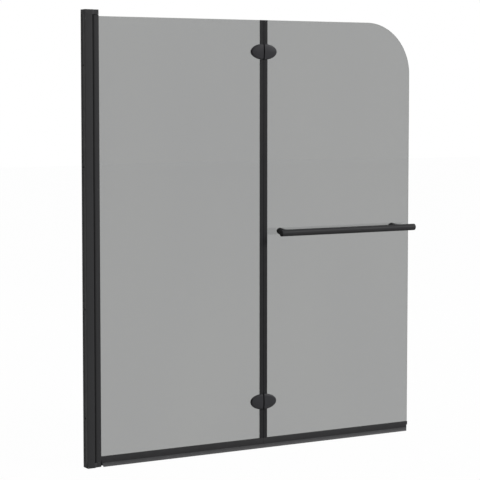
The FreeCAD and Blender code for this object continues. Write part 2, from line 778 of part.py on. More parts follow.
def rail_bolts():
    face = half_glass + rail_washer_thickness + rail_back_disc_thickness
    tip = -half_glass - rail_washer_thickness - rail_bolt_reach + running_gap
    bolts = []
    for x in stand_places:
        head = cross_rod(rail_bolt_head_radius, x, stand_level,
                         (face - rail_bolt_head_height, face))
        shank = cross_rod(rail_bolt_radius, x, stand_level, (tip, face))
        bolts.append(fuse([head, shank]))
    return Part.makeCompound(bolts)


def build_nodes():
    """Every sub-part by the name of its node."""
    nodes = {
        "wall_channel": wall_channel(),
        "channel_post": channel_post(),
        "post_lock_screws": lock_screws(),
        "pivot_wiper_seal": pivot_wiper(),
        "head_cap": end_cap(channel_head, screen_height),
        "foot_cap": end_cap(channel_foot, 0),
        "cap_screws": cap_screws(),
        "head_bush": pivot_bush(channel_head, screen_height),
        "foot_bush": pivot_bush(channel_foot, 0),
        "pivot_profile": pivot_profile(),
        "head_pivot_plug": pivot_plug(leaf_head, -1),
        "foot_pivot_plug": pivot_plug(leaf_foot, 1),
        "head_pivot_pin": pivot_pin(channel_head, screen_height, leaf_head),
        "foot_pivot_pin": pivot_pin(channel_foot, 0, leaf_foot),
        "glazing_gasket": glazing_gasket(),
        "first_glass": first_glass(),
        "first_edge_seal": edge_seal(-1, first_edge_seal_reach),
        "first_drip_seal": drip_seal((drip_start, fold_x(-1, fold_half_gap)),
                                     (drip_leg_start, fold_x(-1, fold_half_gap))),
        "second_glass": second_glass(),
        "second_edge_seal": edge_seal(1, second_edge_seal_reach),
        "second_drip_seal": second_drip_seal(),
        "towel_rail_tube": rail_tube(),
        "towel_rail_near_cap": rail_end_cap(rail_near_end, 1),
        "towel_rail_far_cap": rail_end_cap(rail_far_end, -1),
        "towel_rail_near_stand": rail_stand(stand_places[0]),
        "towel_rail_far_stand": rail_stand(stand_places[1]),
        "towel_rail_anchors": rail_anchors(),
        "towel_rail_front_washers": rail_front_washers(),
        "towel_rail_back_washers": rail_back_washers(),
        "towel_rail_back_discs": rail_back_discs(),
        "towel_rail_bolts": rail_bolts(),
    }
    for place, level in hinge_levels.items():
        nodes[place + "_hinge_pin"] = hinge_pin(level)
        for leaf, side in (("first", -1), ("second", 1)):
            name = place + "_hinge_" + leaf
            nodes[name + "_shell"] = hinge_front_shell(side, level)
            nodes[name + "_leaf"] = hinge_leaf(side, level)
            nodes[name + "_cover"] = hinge_back_cover(side, level)
            nodes[name + "_screws"] = hinge_screws(side, level)
            nodes[name + "_gaskets"] = hinge_gaskets(side, level)
    return nodes


def main():
    os.makedirs("parts", exist_ok=True)
    for name, shape in build_nodes().items():
        shape.exportStep(os.path.join("parts", name + ".step"))
        box = shape.BoundBox
        print("%-30s %d solid(s) valid %s  X %.1f %.1f  Y %.1f %.1f  Z %.1f %.1f" % (
            name, len(shape.Solids), shape.isValid(),
            box.XMin, box.XMax, box.YMin, box.YMax, box.ZMin, box.ZMax))


main()
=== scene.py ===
import json
import math
import bmesh
import bpy
import numpy as np
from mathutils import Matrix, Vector
from mathutils.geometry import tessellate_polygon


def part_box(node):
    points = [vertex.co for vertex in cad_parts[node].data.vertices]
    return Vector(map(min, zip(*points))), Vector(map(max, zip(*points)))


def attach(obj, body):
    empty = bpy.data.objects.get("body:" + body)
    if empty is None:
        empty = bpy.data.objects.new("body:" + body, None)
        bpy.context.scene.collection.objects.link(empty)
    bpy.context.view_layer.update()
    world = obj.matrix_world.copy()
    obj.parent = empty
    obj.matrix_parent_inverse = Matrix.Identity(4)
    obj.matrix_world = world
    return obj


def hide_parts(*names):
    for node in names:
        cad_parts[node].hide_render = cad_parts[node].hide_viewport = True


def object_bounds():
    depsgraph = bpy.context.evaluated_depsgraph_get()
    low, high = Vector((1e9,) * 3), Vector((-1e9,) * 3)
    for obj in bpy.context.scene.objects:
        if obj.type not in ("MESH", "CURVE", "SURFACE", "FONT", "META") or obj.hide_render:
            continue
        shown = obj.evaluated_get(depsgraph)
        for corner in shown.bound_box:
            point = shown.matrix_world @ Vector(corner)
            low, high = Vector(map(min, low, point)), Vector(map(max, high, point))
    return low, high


# A folding shower screen in tinted glass with black fittings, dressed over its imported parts.
# Sizes in the dictionaries are in millimetres, and places come from the parts' own boxes.

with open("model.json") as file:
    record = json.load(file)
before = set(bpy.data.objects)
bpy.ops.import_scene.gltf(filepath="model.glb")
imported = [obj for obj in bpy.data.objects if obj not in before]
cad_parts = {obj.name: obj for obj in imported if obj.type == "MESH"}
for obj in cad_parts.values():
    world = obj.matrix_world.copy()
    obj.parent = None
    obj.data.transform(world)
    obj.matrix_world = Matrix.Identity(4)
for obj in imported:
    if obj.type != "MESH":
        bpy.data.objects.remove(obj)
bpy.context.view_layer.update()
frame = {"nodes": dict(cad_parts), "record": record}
mm = 0.001
alongX, alongY, alongZ = 0, 1, 2
leaves = (("first", -1), ("second", 1))  # each leaf's name and its side of the fold


# Sizes written in millimetres, and lists of them, turned to metres
def inMetres(sizes):
    return {name: np.asarray(value, float) * mm for name, value in sizes.items()}


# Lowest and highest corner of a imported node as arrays
def spanOf(node):
    low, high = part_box(node)
    return np.array(low), np.array(high)


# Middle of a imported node: half the sum of its two corners
def middleOf(node):
    return sum(spanOf(node)) / 2


# Colours and nodes

# An sRGB hex colour as linear values: a dark channel over 12.92, and a lighter one plus 0.055,
# over 1.055, to the power 2.4
def linear(hexColour):
    shares = np.array([int(hexColour[i:i + 2], 16) for i in (1, 3, 5)]) / 255
    curved = np.where(shares <= 0.04045, shares / 12.92, ((shares + 0.055) / 1.055) ** 2.4)
    return (*curved.tolist(), 1.0)


# Adds a node. A setting is an input's value or a property of the node, and a link joins an input
# to another node's output. Sockets go by name, or by number where a node repeats its names.
def addNode(tree, kind, settings=None, links=None):
    node = tree.nodes.new(kind)
    for name, value in (settings or {}).items():
        if isinstance(name, int) or name in node.inputs:
            node.inputs[name].default_value = value
        else:
            setattr(node, name, value)
    for name, (source, output) in (links or {}).items():
        tree.links.new(source.outputs[output], node.inputs[name])
    return node


# Starts a finish: its material and tree, the link by which a pattern reads the object's place, and
# each cloudy pattern of the call, as large as the look says and with the detail that the call says
def startMaterial(name, look, **details):
    material = bpy.data.materials.new(name)
    material.use_nodes = True
    tree = material.node_tree
    tree.nodes.clear()
    place = {"Vector": (addNode(tree, "ShaderNodeTexCoord"), "Object")}
    patterns = [addNode(tree, "ShaderNodeTexNoise",
                        {"Scale": 1 / (look[pattern] * mm), "Detail": detail}, place)
                for pattern, detail in details.items()]
    return material, tree, place, *patterns


# Ends a finish. The tone pattern runs from the look's dark colour to its light one, the gloss
# pattern, over a spread of its values, from smooth to rough, and the relief pattern stands up by
# the look's depth, on top of the normal of a relief under it.
def endMaterial(tree, look, tone, gloss, relief, settings, strength, spread=(0.0, 1.0), under=None):
    colour = addNode(tree, "ShaderNodeMix", {"data_type": "RGBA", 6: linear(look["dark"]),
                                             7: linear(look["light"])}, {0: (tone, 0)})
    roughness = addNode(tree, "ShaderNodeMapRange",
                        {"From Min": spread[0], "From Max": spread[1], "To Min": look["smooth"],
                         "To Max": look["rough"]}, {"Value": (gloss, 0)})
    bump = addNode(tree, "ShaderNodeBump", {"Strength": strength, "Distance": look["depth"] * mm},
                   {"Height": (relief, 0), **(under or {})})
    shader = addNode(tree, "ShaderNodeBsdfPrincipled", settings,
                     {"Base Color": (colour, 2), "Roughness": (roughness, 0), "Normal": (bump, 0)})
    addNode(tree, "ShaderNodeOutputMaterial", {}, {"Surface": (shader, "BSDF")})


# Fine-textured polyester powder coat, sprayed dry and baked. The eye gets an even charcoal satin
# with a soft orange peel, faint darker flecks and slow clouds of more and less shine.
coatLook = {
    "aluminium": {"light": "#373738", "dark": "#2F2F30", "fleck": 0.6, "peel": 2.2,
                  "peelDepth": 0.03, "grain": 0.35, "depth": 0.006, "cloud": 70.0,
                  "smooth": 0.40, "rough": 0.50, "specular": 0.06},
    "rail": {"light": "#373738", "dark": "#2F2F30", "fleck": 0.6, "peel": 2.0, "peelDepth": 0.02,
             "grain": 0.35, "depth": 0.005, "cloud": 70.0, "smooth": 0.34, "rough": 0.44,
             "specular": 0.03},
    "zinc": {"light": "#38383A", "dark": "#303032", "fleck": 0.6, "peel": 1.6, "peelDepth": 0.02,
             "grain": 0.30, "depth": 0.004, "cloud": 70.0, "smooth": 0.28, "rough": 0.38,
             "specular": 0.05},
    "steel": {"light": "#2E2E2F", "dark": "#262627", "fleck": 0.4, "peel": 1.2, "peelDepth": 0.01,
              "grain": 0.25, "depth": 0.004, "cloud": 70.0, "smooth": 0.42, "rough": 0.55,
              "specular": 0.08},
}


def powderCoat(name, look):
    material, tree, _, fleck, cloud, peel, grain = startMaterial(
        name, look, fleck=3.0, cloud=2.0, peel=1.0, grain=2.0)
    soft = addNode(tree, "ShaderNodeBump", {"Strength": 0.6, "Distance": look["peelDepth"] * mm},
                   {"Height": (peel, 0)})
    endMaterial(tree, look, fleck, cloud, grain,
                {"IOR": 1.5, "Specular IOR Level": look["specular"]}, strength=0.8,
                spread=(0.3, 0.7), under={"Normal": (soft, 0)})
    return material


# Body-tinted float glass, toughened on rollers. The eye gets a clear even grey, a little white
# from the room on its face, and long faint waves from the rollers in what it mirrors. Its edges
# are ground, so there the eye gets a frosted grey without glints.
glassLook = {
    "face": {"dark": "#989999", "light": "#9B9C9B", "wave": 240.0, "stretch": 0.35,
             "depth": 0.02, "film": 35.0, "smooth": 0.0, "rough": 0.02},
    "edge": {"dark": "#989999", "light": "#9B9C9B", "wave": 60.0, "stretch": 0.35,
             "depth": 0.0, "film": 12.0, "smooth": 0.42, "rough": 0.52},
}


def temperedGlass(name, look):
    material, tree, place, film = startMaterial(name, look, film=4.0)
    stretched = addNode(tree, "ShaderNodeMapping", {"Scale": (1.0, 1.0, look["stretch"])}, place)
    wave = addNode(tree, "ShaderNodeTexNoise", {"Scale": 1 / (look["wave"] * mm), "Detail": 0.0},
                   {"Vector": (stretched, 0)})
    endMaterial(tree, look, wave, film, wave, {"IOR": 1.52, "Transmission Weight": 1.0},
                strength=1.0, spread=(0.45, 0.75))
    return material


# Soft PVC, drawn through a die. The eye gets a dull black with a slight waxy bloom and fine lines
# along the length, which the die leaves. The lip gets a lighter grey, which is painted light: it
# stands in for the light that its upward slant catches from above.
pvcLook = {
    "clip": {"light": "#333334", "dark": "#2B2B2C", "bloom": 25.0, "line": 0.7, "length": 60.0,
             "depth": 0.02, "smooth": 0.42, "rough": 0.58, "specular": 0.08},
    "edge": {"light": "#29292A", "dark": "#212122", "bloom": 25.0, "line": 0.7, "length": 60.0,
             "depth": 0.02, "smooth": 0.42, "rough": 0.58, "specular": 0.07},
    # the lip's lighter grey is painted light, for its upward slant lit from above
    "lip": {"light": "#484849", "dark": "#3E3E3F", "bloom": 25.0, "line": 0.9, "length": 60.0,
            "depth": 0.015, "smooth": 0.38, "rough": 0.52, "specular": 0.08},
}


def drawnPvc(name, look, axis):
    material, tree, place, bloom = startMaterial(name, look, bloom=3.0)
    scale = [1 / (look["line"] * mm)] * 3
    scale[axis] = 1 / (look["length"] * mm)
    drawn = addNode(tree, "ShaderNodeMapping", {"Scale": scale}, place)
    line = addNode(tree, "ShaderNodeTexNoise", {"Scale": 1.0, "Detail": 3.0},
                   {"Vector": (drawn, 0)})
    endMaterial(tree, look, bloom, line, line,
                {"IOR": 1.53, "Specular IOR Level": look["specular"]}, strength=0.7)
    return material


# A matt black with a moulded skin: EPDM rubber, or glass-filled nylon with a spark-eroded grain.
# The eye gets a dry, fine speckle and hardly any highlight.
mouldedLook = {
    "rubber": {"light": "#1E1E1E", "dark": "#151515", "cloud": 9.0, "grain": 0.5, "depth": 0.02,
               "smooth": 0.62, "rough": 0.80, "specular": 0.10},
    "nylon": {"light": "#373738", "dark": "#2F2F30", "cloud": 9.0, "grain": 0.7, "depth": 0.025,
              "smooth": 0.45, "rough": 0.60, "specular": 0.07},
}


def mouldedSkin(name, look):
    material, tree, place, cloud = startMaterial(name, look, cloud=3.0)
    grain = addNode(tree, "ShaderNodeTexVoronoi",
                    {"Scale": 1 / (look["grain"] * mm), "feature": "SMOOTH_F1"}, place)
    endMaterial(tree, look, cloud, cloud, grain,
                {"IOR": 1.5, "Specular IOR Level": look["specular"]}, strength=0.5)
    return material


# Plain stainless steel, turned from bar. The eye gets a bright grey metal with fine tool marks.
steelLook = {"light": "#C9C8C6", "dark": "#A9A8A6", "mark": 0.4, "depth": 0.004, "smooth": 0.24,
             "rough": 0.38}


def turnedSteel(name, look):
    material, tree, _, mark = startMaterial(name, look, mark=4.0)
    endMaterial(tree, look, mark, mark, mark, {"Metallic": 1.0}, strength=0.5)
    return material


# The finish of each slot, then the finishes that only some pieces of a slot have
slotMaterials = {
    "black_coated_aluminium": powderCoat("powderCoatedAluminium", coatLook["aluminium"]),
    "black_coated_zinc": powderCoat("powderCoatedZincCasting", coatLook["zinc"]),
    "black_coated_steel": powderCoat("blackCoatedSteel", coatLook["steel"]),
    "stainless_steel": turnedSteel("turnedStainlessSteel", steelLook),
    "tinted_glass": temperedGlass("temperedGreyGlass", glassLook["face"]),
    "black_rubber": mouldedSkin("epdmRubber", mouldedLook["rubber"]),
    "soft_black_pvc": drawnPvc("softPvcUpright", pvcLook["edge"], alongZ),
    "black_nylon": mouldedSkin("mouldedNylon", mouldedLook["nylon"]),
}
coatedRail = powderCoat("powderCoatedRail", coatLook["rail"])
groundGlass = temperedGlass("groundGreyGlassEdge", glassLook["edge"])
levelPvc = drawnPvc("softPvcLevel", pvcLook["clip"], alongX)
# the lip's finish: the same PVC painted lighter, as painted light from above
paintedLightLipPvc = drawnPvc("softPvcLipPaintedLight", pvcLook["lip"], alongX)
print("materials made:", len(bpy.data.materials))


# Surfaces as whole arrays

leastRadius = 0.001 * mm
mergeReach = 0.002 * mm
past = 1 * mm  # how far a cutter runs past the face that it cuts
sharpAngle = math.radians(32)


# Each corner of a closed outline becomes an arc tangent to both its sides. The arc is the rational
# quadratic curve from side to corner to side, and its middle weight is the sine of half the corner.
# An inset moves every side inwards (the outline runs anticlockwise) and shortens the outer radii.
def roundedOutline(corners, radii, inset=0.0, steps=6):
    corners = np.array(corners, float)
    side = np.roll(corners, -1, axis=0) - corners
    side /= np.linalg.norm(side, axis=1, keepdims=True)
    back = np.roll(side, 1, axis=0)
    inwards = np.stack([-side[:, 1], side[:, 0]], axis=1)
    inwardsBack = np.roll(inwards, 1, axis=0)
    share = 1 + (inwards * inwardsBack).sum(axis=1, keepdims=True)
    corners = corners + (inwards + inwardsBack) / share * inset
    turn = np.sign(back[:, 0] * side[:, 1] - back[:, 1] * side[:, 0])
    radii = np.maximum(np.broadcast_to(radii, len(corners)) - turn * inset, leastRadius)
    half = np.arccos(np.clip(-(back * side).sum(axis=1), -1, 1)) / 2
    reach = (radii / np.tan(half))[:, None]
    start, end = corners - back * reach, corners + side * reach
    share = np.linspace(0, 1, steps + 1)[None, :, None]
    weight = np.sin(half)[:, None, None]
    parts = ((1 - share) ** 2, 2 * weight * share * (1 - share), share ** 2)
    curve = parts[0] * start[:, None] + parts[1] * corners[:, None] + parts[2] * end[:, None]
    return (curve / sum(parts)).reshape(-1, 2)


# The lower half of a section's outline, followed by its mirror image across the middle line
def bothHalves(lower):
    return [*lower, *[(along, -across) for along, across in lower[::-1]]]


# A curve through three points: the quadratic curve that is at the middle one half way along
def bowed(start, middle, end, steps=12):
    start, middle, end = np.array(start), np.array(middle), np.array(end)
    share = np.linspace(0, 1, steps + 1)[:, None]
    control = 2 * middle - (start + end) / 2
    return start * (1 - share) ** 2 + control * 2 * share * (1 - share) + end * share ** 2


# Points round a circle, or along an arc of it: centre plus radius times cosine and sine
def arcPoints(centre, radius, start=0.0, end=2 * math.pi, steps=32, closed=True):
    angle = np.linspace(start, end, steps, endpoint=not closed)
    return np.array(centre) + radius * np.stack([np.cos(angle), np.sin(angle)], axis=1)


# Rows of points, each a closed loop, skinned with four-sided faces. The two end loops are closed
# with a face, or joined to each other where the rows make a ring.
def gridShell(grid, ring=False):
    rows, columns = grid.shape[:2]
    index = np.arange(rows * columns).reshape(rows, columns)
    if ring:
        index = np.concatenate([index, index[:1]])
    ahead = np.roll(index, -1, axis=1)
    quads = np.stack([index[:-1], ahead[:-1], ahead[1:], index[1:]], axis=-1).reshape(-1, 4)
    ends = [] if ring else [index[0, ::-1].tolist(), index[-1].tolist()]
    return grid.reshape(-1, 3), quads.tolist() + ends


# Flat loops carried straight along an axis: the first is the outline and the rest are holes.
# The two coordinates of a loop are the other two axes, in order.
def extrudedShell(loops, start, end, axis):
    flat = np.concatenate(loops)
    count = len(flat)
    points = np.concatenate([np.insert(flat, axis, level, axis=1) for level in (start, end)])
    cover = tessellate_polygon([[Vector((u, v, 0)) for u, v in loop] for loop in loops])
    faces = [list(face) for face in cover] + [[i + count for i in face[::-1]] for face in cover]
    first = 0
    for loop in loops:
        index = np.arange(first, first + len(loop))
        ahead = np.roll(index, -1)
        faces += np.stack([index, ahead, ahead + count, index + count], axis=1).tolist()
        first += len(loop)
    return points, faces


# A rounded outline carried along a path of pairs: its inset, and its place along the axis
def insetShell(corners, radii, path, axis, steps):
    rows = [np.insert(roundedOutline(corners, radii, inset, steps), axis, level, axis=1)
            for inset, level in path]
    return gridShell(np.array(rows))


# A profile of (radius, place along the axis) pairs turned round an axis through the centre
def lathedShell(profile, centre, axis, ring=False, steps=40):
    profile = np.array(profile, float)
    circle = arcPoints((0, 0), 1.0, steps=steps)
    flat = profile[:, 0, None, None] * circle
    along = np.broadcast_to(profile[:, 1, None, None], flat.shape[:2] + (1,))
    grid = np.concatenate([flat[..., :axis], along, flat[..., axis:]], axis=2)
    return gridShell(grid + np.array(centre), ring)


# The simplest lathed profile: one radius from start to end
def cylinder(radius, start, end, centre, axis):
    return lathedShell([(radius, start), (radius, end)], centre, axis)


# A side of a lathed profile whose two edges are eased off
def easedSide(radius, start, end, ease):
    return [(radius - ease, start), (radius, start + ease), (radius, end - ease),
            (radius - ease, end)]


# A quarter round on a lathed profile, from the outer side to the end face
def roundedRim(radius, end, rounding, outwards, steps=6):
    angle = np.linspace(0, math.pi / 2, steps + 1)
    return np.stack([radius - rounding * (1 - np.cos(angle)),
                     end - outwards * rounding * (1 - np.sin(angle))], axis=1)


# Several shells as one: each shell's faces count on from the points before it
def joinedShells(shells):
    points, faces, count = [], [], 0
    for shellPoints, shellFaces in shells:
        points.append(shellPoints)
        faces += [[i + count for i in face] for face in shellFaces]
        count += len(shellPoints)
    return np.concatenate(points), faces


# A new object at the origin from closed shells, with its doubles merged and its faces outwards
def newPiece(name, *shells):
    points, faces = joinedShells(shells)
    mesh = bpy.data.meshes.new(name)
    mesh.from_pydata(points.tolist(), [], faces)
    work = bmesh.new()
    work.from_mesh(mesh)
    bmesh.ops.remove_doubles(work, verts=work.verts, dist=mergeReach)
    bmesh.ops.recalc_face_normals(work, faces=work.faces)
    work.to_mesh(mesh)
    work.free()
    piece = bpy.data.objects.new(name, mesh)
    bpy.context.scene.collection.objects.link(piece)
    return piece


# Cuts shells out of a piece, or with "UNION" grows the piece by them
def carve(piece, *shells, operation="DIFFERENCE"):
    tool = newPiece("tool", *shells)
    modifier = piece.modifiers.new("carve", "BOOLEAN")
    modifier.object = tool
    modifier.operation = operation
    modifier.solver = "EXACT"
    shaped = piece.evaluated_get(bpy.context.evaluated_depsgraph_get())
    mesh = bpy.data.meshes.new_from_object(shaped)
    piece.modifiers.clear()
    piece.data = mesh
    bpy.data.objects.remove(tool)


# Shades a finished piece, gives it its slot's material or its own, ties it to its body, and hides
# the imported node that it stands for
def finishPiece(piece, body, slot, node, material=None):
    piece.data.shade_smooth()
    piece.data.set_sharp_from_angle(angle=sharpAngle)
    piece.data.materials.clear()
    piece.data.materials.append(material or slotMaterials[slot])
    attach(piece, body)
    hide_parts(node)


# Gives a second material to the faces that a test picks by the Y part of their centre or normal
def dressFaces(piece, material, measure, picks):
    faces = piece.data.polygons
    values = np.empty(3 * len(faces))
    faces.foreach_get(measure, values)
    piece.data.materials.append(material)
    faces.foreach_set("material_index", picks(values[1::3]).astype(np.int32))


# Shares of a recess's arm (half its width, its reach at the mouth and at the foot) and of its depth
recessShares = {"width": 0.26, "mouth": 1.25, "foot": 0.45, "proud": 0.5}


# A cross-shaped recess for a driver, narrower at its foot: the outline of a plus sign at two levels
def crossRecess(centre, axis, outwards, arm, depth):
    width = arm * recessShares["width"]
    quarter = np.array([(arm, -width), (arm, width), (width, width)])
    turns = [quarter @ np.array([(c, s), (-s, c)]) for c, s in ((1, 0), (0, 1), (-1, 0), (0, -1))]
    plus = np.concatenate(turns)
    levels = ((recessShares["mouth"], outwards * depth * recessShares["proud"]),
              (recessShares["foot"], -outwards * depth))
    rows = [np.insert(plus * scale, axis, level, axis=1) for scale, level in levels]
    return gridShell(np.array(rows) + np.array(centre))


# Wall side: the channel on the wall, the caps on its ends, and what they hold

channelSize = inMetres({"wall": 2.0, "edge": 0.6, "tip": 0.45, "inner": 0.3, "groove": 12.0,
                        "grooveDepth": 0.6, "grooveEdge": 0.2, "holeRadius": 2.75, "holeLead": 0.4,
                        "screwHoleRadius": 1.9})
wallHoleShares = (0.11, 0.35, 0.66, 0.88)  # of the screen's height
lockShares = (0.15, 0.5, 0.85)
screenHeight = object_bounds()[1].z
channelLow, channelHigh = spanOf("wall_channel")
lockX = middleOf("post_lock_screws")[0]
wallHoles = [(0, 0, share * screenHeight) for share in wallHoleShares]
lockPlaces = [(lockX, 0, share * screenHeight) for share in lockShares]


# A U section with a groove along its back, carried up the wall, with flared holes for the wall
# screws and plain ones for the lock screws
def wallChannel():
    size = channelSize
    x, y = channelHigh[0], channelHigh[1]
    wall, groove, floor = size["wall"], size["groove"] / 2, size["grooveDepth"]
    inside = y - wall
    corners = bothHalves([(0, -y), (x, -y), (x, -inside), (wall, -inside)])
    corners += [(0, groove), (floor, groove), (floor, -groove), (0, -groove)]
    radii = [size["edge"], size["tip"], size["tip"], size["inner"]]
    radii += radii[::-1] + [size["grooveEdge"]] * 4
    piece = newPiece("wallChannel", extrudedShell([roundedOutline(corners, radii)],
                                                  channelLow[2], channelHigh[2], alongZ))
    radius, lead = size["holeRadius"], size["holeLead"]
    hole = [(radius + 4 * lead, -3 * lead), (radius + lead, floor), (radius, floor + lead),
            (radius, 2 * wall)]
    carve(piece, *[lathedShell(hole, place, alongX) for place in wallHoles],
          *[cylinder(size["screwHoleRadius"], inside - wall, y + wall, place, alongY)
            for place in lockPlaces])
    finishPiece(piece, "wall_side", "black_coated_aluminium", "wall_channel")


lockSize = inMetres({"shank": 1.6, "head": 3.6, "side": 0.7, "recess": 1.7, "recessDepth": 1.3})
lockDome = math.radians(75)


# Screws with a domed head: over an angle the head's radius follows the cosine and its height the
# sine. The shank ends in a point half its radius long.
def lockScrews():
    size = lockSize
    low, high = spanOf("post_lock_screws")
    seat, crown, shank = channelHigh[1], high[1], size["shank"]
    angle = np.linspace(0, lockDome, 8)
    rise = (crown - seat - size["side"]) * np.sin(angle) / math.sin(lockDome)
    dome = np.stack([size["head"] * np.cos(angle), seat + size["side"] + rise], axis=1)
    profile = [(shank / 2, low[1]), (shank, low[1] + shank / 2), (shank, seat),
               (size["head"], seat), *dome]
    piece = newPiece("postLockScrews", *[lathedShell(profile, place, alongY) for place in lockPlaces])
    carve(piece, *[crossRecess((x, crown, z), alongY, 1, size["recess"], size["recessDepth"])
                   for x, _, z in lockPlaces])
    finishPiece(piece, "wall_side", "black_coated_steel", "post_lock_screws")


wiperSize = inMetres({"bulb": 2.6, "stem": 3.2, "web": 1.8, "barb": 1.0})


# A round bulb on a stem that widens by its barbs behind the post's web: an arc between two halves
def pivotWiper():
    size = wiperSize
    low, high = spanOf("pivot_wiper_seal")
    bulb, stem, face = size["bulb"], size["stem"] / 2, channelHigh[0]
    middle, root, wide = high[0] - bulb, face - size["web"], stem + size["barb"]
    half = math.acos((face - middle) / bulb)
    arc = arcPoints((middle, 0), bulb, -half, half, 24, closed=False)
    lower = np.array([(low[0], -wide), (root, -wide), (root, -stem), (face, -stem)])
    outline = np.concatenate([lower, arc, lower[::-1] * (1, -1)])
    piece = newPiece("pivotWiperSeal", extrudedShell([outline], low[2], high[2], alongZ))
    finishPiece(piece, "wall_side", "black_rubber", "pivot_wiper_seal")


capSize = inMetres({"bush": 36.0, "nose": 10.5, "noseRound": 2.5, "slope": 8.0, "corner": 1.0,
                    "shoulder": 3.0, "wall": 2.0, "plate": 3.0, "top": 1.0, "lip": 0.3,
                    "screwX": 20.4, "screwY": 9.1, "bore": 2.05, "boss": 4.0, "sink": 4.05,
                    "sinkDepth": 2.25, "bushBore": 5.05, "bushBoss": 7.05, "bushSunk": 0.8,
                    "bushRoof": 5.0})
bushPlace = (capSize["bush"], 0, 0)
capScrewPlaces = [(capSize["screwX"], side * capSize["screwY"], 0) for side in (-1, 1)]


# The cap's plan at an inset, and its side as a path of insets and heights: from the ceiling inside
# down the inner wall, round the rim, up the outer wall and over a quarter round to the top
def endCap(end, outwards):
    size = capSize
    low, high = spanOf(end + "_cap")
    seat, outside = (low[2], high[2]) if outwards > 0 else (high[2], low[2])
    x, y, nose, lip, wall = channelHigh[0], high[1], size["nose"], size["lip"], size["wall"]
    corners = bothHalves([(0, -y), (x, -y), (x + size["slope"], -nose), (high[0], -nose)])
    radii = [size["corner"], size["shoulder"], size["shoulder"], size["noseRound"]]
    ceiling = outside - outwards * size["plate"]
    rim = roundedRim(0, outside, size["top"], outwards) * (-1, 1)
    path = [(wall, ceiling), (wall, seat + outwards * lip), (wall - lip, seat), (lip, seat),
            (0, seat + outwards * lip), *rim]
    piece = newPiece(end + "Cap", insetShell(corners, radii + radii[::-1], path, alongZ, 10))
    inPlate = ceiling + outwards * size["plate"] / 2
    sunk = seat + outwards * size["bushSunk"]
    carve(piece, cylinder(size["bushBoss"], sunk, inPlate, bushPlace, alongZ),
          *[cylinder(size["boss"], seat, inPlate, place, alongZ) for place in capScrewPlaces],
          operation="UNION")
    start, roof = seat - outwards * past, outside - outwards * size["bushRoof"]
    sink = size["sinkDepth"]
    flare = (size["sink"] - size["bore"]) / sink
    hole = [(size["bore"], start), (size["bore"], outside - outwards * sink),
            (size["sink"] + flare * past, outside + outwards * past)]
    carve(piece, cylinder(size["bushBore"], start, roof, bushPlace, alongZ),
          *[lathedShell(hole, place, alongZ) for place in capScrewPlaces])
    finishPiece(piece, "wall_side", "black_nylon", end + "_cap")


capScrewSize = inMetres({"head": 3.9, "shank": 1.95, "headHeight": 2.2, "length": 28.0, "point": 1.0,
                         "recess": 2.1, "recessDepth": 1.5, "sunk": 0.15})


# Countersunk screws: a point, a shank, and a cone as far as a head that stands a little sunk
def capScrews():
    size = capScrewSize
    shells, recesses = [], []
    for outside, outwards in ((screenHeight, 1), (0.0, -1)):
        top = outside - outwards * size["sunk"]
        profile = [(size["shank"] / 2, outside - outwards * size["length"]),
                   (size["shank"], outside - outwards * (size["length"] - size["point"])),
                   (size["shank"], outside - outwards * size["headHeight"]),
                   (size["head"], top - outwards * size["sunk"]), (size["head"] - size["sunk"], top)]
        for x, y, z in capScrewPlaces:
            shells.append(lathedShell(profile, (x, y, z), alongZ))
            recesses.append(crossRecess((x, y, top), alongZ, outwards, size["recess"],
                                        size["recessDepth"]))
    piece = newPiece("capScrews", *shells)
    carve(piece, *recesses)
    finishPiece(piece, "wall_side", "black_coated_steel", "cap_screws")


wallChannel()
lockScrews()
pivotWiper()
endCap("head", 1)
endCap("foot", -1)
capScrews()
print("wall side dressed")


# First panel's pivot: the profile that turns at the wall and grips the glass

pivotSize = inMetres({"nose": 8.0, "wall": 2.0, "edge": 0.6, "tip": 0.35, "inner": 0.25,
                      "pocketStart": 41.0, "web": 1.5, "axis": 36.0})


# A section with a round nose and a pocket for the glass, and in the nose a round room cut off by a
# flat web
def pivotProfile():
    size = pivotSize
    low, high = spanOf("pivot_profile")
    nose, pocket, inside = size["nose"], size["pocketStart"], size["nose"] - size["wall"]
    corners = bothHalves([(low[0], -nose), (high[0], -nose), (high[0], -inside), (pocket, -inside)])
    radii = [nose, size["edge"], size["tip"], size["inner"]]
    outline = roundedOutline(corners, radii + radii[::-1], steps=16)
    flat = math.acos((pocket - size["web"] - size["axis"]) / inside)
    room = arcPoints((size["axis"], 0), inside, flat, 2 * math.pi - flat, 28, closed=False)
    piece = newPiece("pivotProfile", extrudedShell([outline, room], low[2], high[2], alongZ))
    finishPiece(piece, "first_panel", "black_coated_aluminium", "pivot_profile")


gasketSize = inMetres({"seat": 1.5, "bead": 0.8, "lip": 2.0, "edge": 0.55, "halfGlass": 2.5,
                       "sharp": 0.1})


# A rubber U in the pocket, whose two lips bulge out past the profile onto the glass
def glazingGasket():
    size = gasketSize
    low, high = spanOf("glazing_gasket")
    half, lip, sharp = size["halfGlass"], size["halfGlass"] + size["lip"], size["sharp"]
    mouth, seat, side = high[0] - size["bead"], low[0] + size["seat"], high[1]
    corners = bothHalves([(low[0], -side), (mouth, -side), (mouth, -lip), (high[0], -lip),
                          (high[0], -half), (seat, -half)])
    radii = [sharp, sharp, sharp, size["edge"], sharp, sharp]
    outline = roundedOutline(corners, radii + radii[::-1])
    piece = newPiece("glazingGasket", extrudedShell([outline], low[2], high[2], alongZ))
    finishPiece(piece, "first_panel", "black_rubber", "glazing_gasket")


pivotProfile()
glazingGasket()
print("pivot dressed")


# Glass

